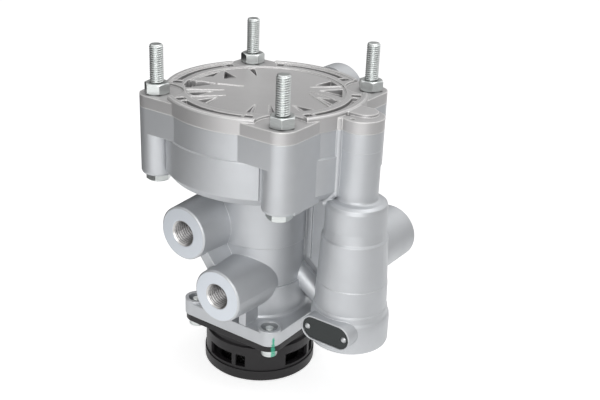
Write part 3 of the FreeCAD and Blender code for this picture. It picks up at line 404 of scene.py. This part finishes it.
SCREW_ACROSS, SCREW_DEPTH = along_and_out(SCREW_MIDDLE.x, SCREW_MIDDLE.y)
STROKE_ACROSS = SCREW_ACROSS + 2.6 * MM
STROKE_DEPTH = SCREW_DEPTH + 2.0 * MM
STROKE_TOP_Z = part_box("silencer_housing")[1].z + 6.5 * MM
STROKE_BOTTOM_Z = SCREW_LOW.z - 1.0 * MM
STROKE_WIDE_Z = STROKE_BOTTOM_Z + 4.0 * MM


def inspection_stroke(tree, tone):
    """Green paint stroke down the front corner: a soft-edged upright band on Object coordinates.

    Across the stroke counts X and Y mixed by the corner's facing angle, depth is at right angles to it.
    The band is narrow at the flange's top edge and widens downwards.
    """
    place = tree.place()
    x, y, z = tree.split(place)
    cos, sin = math.cos(STROKE_FACING), math.sin(STROKE_FACING)
    ragged = tree.noise(place, 700.0, 3.0, 0.6)
    across = tree.math("ADD", tree.math("MULTIPLY", x, cos), tree.math("MULTIPLY", y, sin))
    across = tree.math("ADD", across, tree.math("MULTIPLY", ragged, STROKE_RAGGED))
    off = tree.math("ABSOLUTE", tree.math("SUBTRACT", across, STROKE_ACROSS + STROKE_RAGGED / 2))
    width = tree.ramp(z, STROKE_TOP_Z, STROKE_WIDE_Z, STROKE_TOP_HALF_WIDTH, STROKE_HALF_WIDTH)
    inside = tree.ramp(tree.math("SUBTRACT", off, width), STROKE_BLUR, -STROKE_BLUR)
    depth = tree.math("SUBTRACT", tree.math("MULTIPLY", x, sin), tree.math("MULTIPLY", y, cos))
    front = tree.ramp(depth, STROKE_DEPTH, STROKE_DEPTH + STROKE_BLUR)
    high = tree.ramp(z, STROKE_TOP_Z, STROKE_TOP_Z - STROKE_END_BLUR)
    low = tree.ramp(z, STROKE_BOTTOM_Z, STROKE_BOTTOM_Z + STROKE_END_BLUR)
    thin = tree.ramp(tree.noise(place, 1100.0, 3.0, 0.7), 0.30, 0.52, 0.35, 1.0)
    mask = tree.math("MULTIPLY", tree.math("MULTIPLY", inside, front), tree.math("MULTIPLY", high, low))
    mask = tree.math("MULTIPLY", mask, thin)
    return tree.mix(mask, tone, STROKE_COLOUR)


# Castings: plain tone, tone of painted shade in hollows and of specks, tone of painted highlight on corners
COVER_TONES = (colour(0.585, 0.577, 0.577), colour(0.27, 0.265, 0.27), colour(0.90, 0.89, 0.88))
BODY_TONES = (colour(0.585, 0.60, 0.62), colour(0.30, 0.315, 0.34), colour(0.82, 0.83, 0.84))
MACHINED_TONE = colour(0.73, 0.77, 0.82)

FRONT_PORT_PLACES = [MOUNTS[name]["pos_m"] for name in ("upper_front_port", "lower_front_port")]
PORT_FACE_RADIUS = 15.5 * MM
FACE_BLUR = 0.4 * MM
FACE_LAYER = (0.5 * MM, 0.2 * MM)


def machined_faces(tree, tone):
    """Brighter faced-off ends of the two front ports, a thin layer on Object coordinates."""
    x, y, z = tree.split(tree.place())
    mask = None
    for port_x, port_y, port_z in FRONT_PORT_PLACES:
        across = tree.math("POWER", tree.math("SUBTRACT", x, port_x), 2.0)
        upward = tree.math("POWER", tree.math("SUBTRACT", z, port_z), 2.0)
        radius = tree.math("SQRT", tree.math("ADD", across, upward))
        disc = tree.ramp(radius, PORT_FACE_RADIUS, PORT_FACE_RADIUS - FACE_BLUR)
        layer = tree.ramp(tree.math("SUBTRACT", y, port_y), *FACE_LAYER)
        part = tree.math("MULTIPLY", disc, layer)
        mask = part if mask is None else tree.math("MAXIMUM", mask, part)
    return tree.mix(mask, tone, MACHINED_TONE)


def body_casting():
    # Edge radius, share of painted highlight on corners, share of painted shade in hollows
    material, tree, shader, tone = cast_metal("body_casting", *BODY_TONES, 0.0008, 0.5, 0.15)
    tone = machined_faces(tree, tone)
    tree.wire(inspection_stroke(tree, tone), shader.inputs["Base Color"])
    return material


def cover_casting():
    # Edge radius, share of painted highlight on corners, share of painted shade in hollows
    return cast_metal("cover_casting", *COVER_TONES, 0.0011, 1.0, 0.8)[0]


def with_stroke(material):
    """The same finish with the paint stroke over it."""
    tree = Tree(material.node_tree)
    target = material.node_tree.nodes["Principled BSDF"].inputs["Base Color"]
    plain = target.links[0].from_socket
    tree.wire(inspection_stroke(tree, plain), target)
    return material


def silencer_plastic():
    return with_stroke(moulded_plastic("silencer_plastic", colour(0.012, 0.011, 0.012), 0.46))


FINISHES = {
    "cover_casting": cover_casting(),
    "body_casting": body_casting(),
    "turned_aluminium": plated_metal("turned_aluminium", colour(0.66, 0.67, 0.68), 0.30, 0.0002),
    "brass_valve": plated_metal("turned_brass", colour(0.70, 0.50, 0.22), 0.28, 0.0002),
    "zinc_steel": plated_metal("zinc_steel", colour(0.78, 0.81, 0.80), 0.28, 0.00035, groove_shade=1.0),
    "spring_steel": plated_metal("spring_steel", colour(0.36, 0.36, 0.37), 0.30, 0.0001),
    "black_rubber": moulded_rubber("black_rubber"),
    "black_plastic": silencer_plastic(),
    "knitted_wire": knitted_wire("knitted_wire"),
    "plate_black": moulded_plastic("plate_lacquer", colour(0.022, 0.026, 0.026), 0.42),
    "rivet_aluminium": plated_metal("rivet_aluminium", colour(0.52, 0.53, 0.54), 0.35, 0.0002),
}
# Screw and port threads get painted shade in their grooves; the ports also get painted shade deep inside
PAINTED_SCREW = with_stroke(plated_metal("zinc_screw", colour(0.74, 0.77, 0.76), 0.28, 0.0003, groove_shade=0.8))
PORT_METAL = plated_metal("tapped_aluminium", colour(0.68, 0.67, 0.66), 0.28, 0.0001, groove_shade=1.0, deep_shade=0.72)


def dress_nodes():
    """Give every carried node the finish of its record slot."""
    for part in frame["record"]["subparts"]:
        materials = NODES[part["node"]].data.materials
        materials.clear()
        materials.append(FINISHES[part["material_slot"]])


# Mesh helpers

def grid_faces(rows, columns, wrap):
    """Quads of a rows x columns grid of points; wrap joins the last column to the first."""
    across = columns if wrap else columns - 1
    r, c = np.meshgrid(np.arange(rows - 1), np.arange(across), indexing="ij")
    right = (c + 1) % columns
    low, high = r * columns, (r + 1) * columns
    return np.stack([low + c, low + right, high + right, high + c], -1).reshape(-1, 4)


def end_caps(rows, columns):
    """Closing polygons of a closed grid's first and last rings."""
    last = (rows - 1) * columns
    return [range(columns - 1, -1, -1), range(last, last + columns)]


def around(columns):
    """Even angles over one turn, from the X axis."""
    return np.linspace(0.0, 2 * np.pi, columns, endpoint=False)


def new_mesh(name, points, quads, caps=()):
    """A mesh object from arrays of points, quads and closing polygons."""
    faces = quads.tolist() + [list(cap) for cap in caps]
    mesh = bpy.data.meshes.new(name)
    mesh.from_pydata(np.asarray(points, float).reshape(-1, 3).tolist(), [], faces)
    mesh.validate()
    piece = bpy.data.objects.new(name, mesh)
    bpy.context.scene.collection.objects.link(piece)
    return piece


def recalculate_normals(piece):
    work = bmesh.new()
    work.from_mesh(piece.data)
    bmesh.ops.recalc_face_normals(work, faces=work.faces)
    work.to_mesh(piece.data)
    work.free()


def joined_piece(name, pieces):
    """Several meshes made one piece, already in place."""
    for other in pieces:
        other.select_set(False)
    with bpy.context.temp_override(active_object=pieces[0], object=pieces[0],
                                   selected_objects=pieces, selected_editable_objects=pieces):
        bpy.ops.object.join()
    pieces[0].name = name
    pieces[0].data.name = name
    return pieces[0]


def finish_piece(piece, material):
    """Material, smooth shading under the edge angle and the body it rides."""
    piece.data.materials.append(material)
    piece.data.shade_smooth()
    with bpy.context.temp_override(object=piece, active_object=piece, selected_objects=[piece],
                                   selected_editable_objects=[piece]):
        bpy.ops.object.shade_smooth_by_angle(angle=math.radians(SMOOTH_ANGLE))
    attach(piece, "body")


# Threads, bolts and screws

def thread_wave(phase):
    """Rounded sixty-degree thread form from 0 at the root to 1 at the crest, over one turn of phase."""
    triangle = 1.0 - np.abs(2.0 * (phase % 1.0) - 1.0)
    return np.clip(1.25 * triangle - 0.125, 0.0, 1.0)


def threaded_rod(name, x, y, low, top, form):
    """Thread r(angle, z) = crest radius - depth * (1 - wave(z / pitch - angle / turn)).

    Towards the top it is cut down to the chamfer, a straight taper.
    """
    radius, pitch, thread_depth, chamfer_length, chamfer_cut, columns, samples = form
    rows = int((top - low) / pitch * samples) + 1
    level = np.linspace(low, top, rows)[:, None]
    angle = around(columns)[None, :]
    crest = radius - chamfer_cut * (1.0 - np.clip((top - level) / chamfer_length, 0.0, 1.0))
    wave = thread_wave(level / pitch - angle / (2 * np.pi))
    reach = np.minimum(radius - thread_depth * (1.0 - wave), crest)
    points = np.stack([x + reach * np.cos(angle), y + reach * np.sin(angle), level + 0 * reach], -1)
    return new_mesh(name, points, grid_faces(rows, columns, True), end_caps(rows, columns))


def plain_shank(name, x, y, low, high):
    """Plain cylinder inside the castings, radius just under the thread's crest."""
    columns = 32
    angle = around(columns)
    level = np.array([[low], [high]])
    radius = STUD_RADIUS - SHANK_CLEARANCE + 0 * level
    points = np.stack([x + radius * np.cos(angle), y + radius * np.sin(angle), level + 0 * angle], -1)
    return new_mesh(name, points, grid_faces(2, columns, True), end_caps(2, columns))


def hex_head(name, x, y, low, high, turn):
    """Hex head: rings of radius min(hexagon, cone) between the chamfered underside and the flat top."""
    columns = 72
    first = math.radians(turn)
    angle = first + around(columns)
    half = HEX_ACROSS_FLATS / 2
    flat = half / np.cos(((angle - first) % (np.pi / 3)) - np.pi / 6)
    lift = np.array(HEX_RING_LIFTS) * MM
    levels = np.concatenate([low + lift, [high]])
    cone = HEX_FACE_SHARE * half + (levels - low) / math.tan(math.radians(HEX_CHAMFER_ANGLE))
    radius = np.minimum(flat[None, :], cone[:, None])
    points = np.stack([
        x + radius * np.cos(angle), y + radius * np.sin(angle), np.repeat(levels[:, None], columns, 1)], -1)
    rows = len(levels)
    return new_mesh(name, points, grid_faces(rows, columns, True), end_caps(rows, columns))


def mounting_bolts():
    """Bolts with real threads in place of the plain ones."""
    for number in range(1, 5):
        node = "cover_bolt_%d" % number
        low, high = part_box(node)
        x, y = (low.x + high.x) / 2, (low.y + high.y) / 2
        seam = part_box("cover_nut_%d" % number)[0].z - THREAD_START
        head_top = low.z + BOLT_HEAD_HEIGHT
        pieces = [
            threaded_rod("stud_threads_%d" % number, x, y, seam, high.z, STUD_THREAD),
            plain_shank("stud_shank_%d" % number, x, y, head_top - PIECE_LAP, seam + PIECE_LAP),
            hex_head("stud_head_%d" % number, x, y, low.z, head_top, BOLT_HEAD_TURNS[number - 1]),
        ]
        bolt = joined_piece("mounting_bolt_%d" % number, pieces)
        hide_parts(node)
        finish_piece(bolt, FINISHES["zinc_steel"])


def socket_head(name, x, y, low, high, radius):
    """Cap head from rings of (height, round radius or hexagon): socket floor, socket wall, knurled side."""
    columns = 96
    angle = around(columns)
    hexagon = SOCKET_ACROSS_FLATS / 2 / np.cos((angle % (np.pi / 3)) - np.pi / 6)
    knurl = KNURL_DEPTH * (1.0 - np.cos(KNURL_COUNT * angle))
    edge = SCREW_HEAD_EDGE
    rings = [
        (low + SOCKET_DEPTH, hexagon), (low, hexagon), (low, 0 * angle + radius - edge),
        (low + 0.4 * edge, 0 * angle + radius - 0.4 * edge), (low + edge, radius - knurl),
        (high - edge, radius - knurl), (high - 0.5 * edge, 0 * angle + radius - 0.05 * MM),
        (high, 0 * angle + radius - 0.2 * MM),
    ]
    points = np.stack([
        np.stack([x + reach * np.cos(angle), y + reach * np.sin(angle), np.full(columns, z)], -1)
        for z, reach in rings])
    last = (len(rings) - 1) * columns
    caps = [range(columns), range(last + columns - 1, last - 1, -1)]
    piece = new_mesh(name, points, grid_faces(len(rings), columns, True)[:, ::-1], caps)
    recalculate_normals(piece)
    return piece


def silencer_screws():
    """Cap screws with socket, knurl and a thread that shows in the flange's corner recesses."""
    for number in range(1, 5):
        node = "silencer_screw_%d" % number
        low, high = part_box(node)
        x, y = (low.x + high.x) / 2, (low.y + high.y) / 2
        radius = (high.x - low.x) / 2
        seat = low.z + SCREW_HEAD_HEIGHT
        pieces = [
            threaded_rod("screw_thread_%d" % number, x, y, seat - PIECE_LAP, high.z, SCREW_THREAD),
            socket_head("screw_head_%d" % number, x, y, low.z, seat, radius),
        ]
        screw = joined_piece("cap_screw_%d" % number, pieces)
        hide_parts(node)
        painted = number == PAINTED_SCREW_NUMBER
        finish_piece(screw, PAINTED_SCREW if painted else FINISHES["zinc_steel"])


def port_thread(name, mount):
    """Sleeve of female thread behind a countersunk mouth: r = bore - depth * wave, thin outer wall."""
    centre = np.array(mount["pos_m"])
    outwards = np.array(mount["axis"], float)
    bore = mount["dims"]["r_mm"] * MM
    length = mount["dims"]["length_mm"] * MM
    columns = PORT_COLUMNS
    rows = int(length / PORT_PITCH * PORT_SAMPLES) + 1
    depth = np.linspace(PORT_START, length - PORT_END_ROOM, rows)[:, None]
    angle = around(columns)[None, :]
    wave = thread_wave(depth / PORT_PITCH - angle / (2 * np.pi))
    crest = bore - PORT_START - np.minimum(depth, PORT_CHAMFER)
    inner = np.where(depth < PORT_CHAMFER, crest, crest + PORT_THREAD_DEPTH * (1.0 - wave))
    outer = np.full_like(inner, bore - PORT_WALL_GAP)
    side = np.array([1.0, 0.0, 0.0])
    up = np.array([0.0, 0.0, 1.0])

    def place(radius):
        return (centre - depth[..., None] * outwards + (radius * np.cos(angle))[..., None] * side
                + (radius * np.sin(angle))[..., None] * up)

    points = np.concatenate([place(inner), place(outer)[::-1]])
    faces = grid_faces(2 * rows, columns, True)
    first = np.arange(columns)
    last = (2 * rows - 1) * columns + first
    closing = np.stack([last, np.roll(last, -1), np.roll(first, -1), first], -1)
    return new_mesh(name, points, np.concatenate([faces, closing]))


def port_threads():
    """A thread in each of the four ports."""
    for name in ("upper_front_port", "lower_front_port", "control_port", "rear_port"):
        sleeve = port_thread(name + "_thread", MOUNTS[name])
        recalculate_normals(sleeve)
        finish_piece(sleeve, PORT_METAL)


# Stage: shares of the room's light, fades along directions (world) and in metres (floor)

WORLD_FILL = 0.44
WORLD_LEFT_SHARE = 0.0
WORLD_RIGHT_SHARE = 0.42
WORLD_LEFT_FADE = (0.0, -0.6)
WORLD_RIGHT_FADE = (0.2, 0.8)
WORLD_LOW_FADE = (0.62, 0.30)
FLOOR_LEFT_FADE = (-0.10, -0.26)
FLOOR_RIGHT_FADE = (0.10, 0.30)
FLOOR_LIFT = 0.64
FLOOR_SIZE = 6.0
FLOOR_DROP = 0.02 * MM


def backdrop_material():
    """Pale floor that is lifted to white for the eye and keeps a faint shadow.

    Reflections see it white in the middle, black on the left and grey on the right, as with studio flags.
    """
    material, tree, shader = new_material("pale_floor")
    rays = tree.add("ShaderNodeLightPath").outputs
    x = tree.split(tree.place())[0]
    left = tree.ramp(x, *FLOOR_LEFT_FADE, 0.0, 1.0 - WORLD_LEFT_SHARE)
    right = tree.ramp(x, *FLOOR_RIGHT_FADE, 0.0, 1.0 - WORLD_RIGHT_SHARE)
    side = tree.math("SUBTRACT", 1.0, tree.math("ADD", left, right))
    seen = tree.math("MAXIMUM", rays["Is Camera Ray"], rays["Is Transmission Ray"])
    seen = tree.math("MAXIMUM", seen, tree.math("MULTIPLY", rays["Is Glossy Ray"], side))
    flagged = tree.math("MULTIPLY", rays["Is Glossy Ray"], tree.math("SUBTRACT", 1.0, side))
    tone = tree.mix(flagged, colour(0.80, 0.80, 0.80), colour(0.04, 0.04, 0.04))
    tree.wire(tone, shader.inputs["Base Color"])
    shader.inputs["Roughness"].default_value = 0.9
    shader.inputs["Specular IOR Level"].default_value = 0.0
    shader.inputs["Emission Color"].default_value = colour(1.0, 1.0, 1.0)
    tree.wire(tree.math("MULTIPLY", seen, FLOOR_LIFT), shader.inputs["Emission Strength"])
    return material


def stage():
    """Floor square just under the object."""
    z, size = CAD_BOX[0][2] - FLOOR_DROP, FLOOR_SIZE
    points = [(-size, -size, z), (size, -size, z), (size, size, z), (-size, size, z)]
    floor = new_mesh("floor", points, np.array([[0, 1, 2, 3]]))
    floor.data.materials.append(backdrop_material())


def area_light(name, place, target, size, energy):
    """Rectangular light aimed at a target point."""
    data = bpy.data.lights.new(name, "AREA")
    data.shape = "RECTANGLE"
    data.size, data.size_y = size
    data.energy = energy
    lamp = bpy.data.objects.new(name, data)
    aim = Vector(target) - Vector(place)
    lamp.matrix_world = Matrix.Translation(place) @ aim.to_track_quat("-Z", "Y").to_matrix().to_4x4()
    bpy.context.scene.collection.objects.link(lamp)


def lights():
    """Soft box on the left front, small low fill on the right, top fill from behind."""
    middle = (0.0, 0.0, -0.07)
    area_light("key_soft_box", (0.42, -1.22, 0.25), middle, (0.40, 1.5), 5.8)
    area_light("low_fill", (0.62, -0.62, 0.10), (0.02, 0.0, -0.12), (0.25, 0.5), 1.5)
    area_light("top_fill", (0.25, 0.30, 1.3), middle, (0.9, 0.9), 6.2)


def world():
    """White to the eye; for other light a soft room, darker low on the left and the right."""
    world_data = bpy.data.worlds.new("studio")
    bpy.context.scene.world = world_data
    world_data.use_nodes = True
    tree = Tree(world_data.node_tree)
    background = world_data.node_tree.nodes["Background"]
    background.inputs["Color"].default_value = colour(1.0, 1.0, 1.0)
    rays = tree.add("ShaderNodeLightPath").outputs
    x, _, z = tree.split(tree.add("ShaderNodeTexCoord").outputs["Generated"])
    left = tree.ramp(x, *WORLD_LEFT_FADE, 0.0, 1.0 - WORLD_LEFT_SHARE)
    right = tree.ramp(x, *WORLD_RIGHT_FADE, 0.0, 1.0 - WORLD_RIGHT_SHARE)
    low = tree.ramp(z, *WORLD_LOW_FADE)
    side = tree.math("SUBTRACT", 1.0, tree.math("MULTIPLY", tree.math("ADD", left, right), low))
    mirrored = tree.ramp(rays["Is Glossy Ray"], 0.0, 1.0, WORLD_FILL, 1.0)
    fill = tree.math("MULTIPLY", side, mirrored)
    seen = tree.math("MAXIMUM", rays["Is Camera Ray"], rays["Is Transmission Ray"])
    strength = tree.add("ShaderNodeMix", data_type="FLOAT")
    tree.wire(seen, strength.inputs["Factor"])
    tree.wire(fill, strength.inputs["A"])
    strength.inputs["B"].default_value = 1.0
    tree.wire(strength.outputs["Result"], background.inputs["Strength"])


def camera():
    """Camera at the photographed place, turned by azimuth, elevation and a small roll."""
    azimuth, elevation = math.radians(CAMERA_AZIMUTH), math.radians(CAMERA_ELEVATION)
    roll = math.radians(CAMERA_ROLL)
    back = Vector((math.sin(azimuth) * math.cos(elevation), -math.cos(azimuth) * math.cos(elevation),
                   math.sin(elevation)))
    right = Vector((math.cos(azimuth), math.sin(azimuth), 0.0))
    up = back.cross(right)
    across = math.cos(roll) * right + math.sin(roll) * up
    upright = math.cos(roll) * up - math.sin(roll) * right
    data = bpy.data.cameras.new("photo_view")
    data.lens = CAMERA_LENS
    data.sensor_width = SENSOR_WIDTH
    data.clip_start = 0.01
    viewer = bpy.data.objects.new("photo_view", data)
    turn = Matrix((across, upright, back)).transposed().to_4x4()
    viewer.matrix_world = Matrix.Translation(CAMERA_PLACE) @ turn
    bpy.context.scene.collection.objects.link(viewer)
    bpy.context.scene.camera = viewer


bpy.context.scene.view_settings.view_transform = "Standard"
camera()
world()
lights()
stage()
dress_nodes()
mounting_bolts()
silencer_screws()
port_threads()
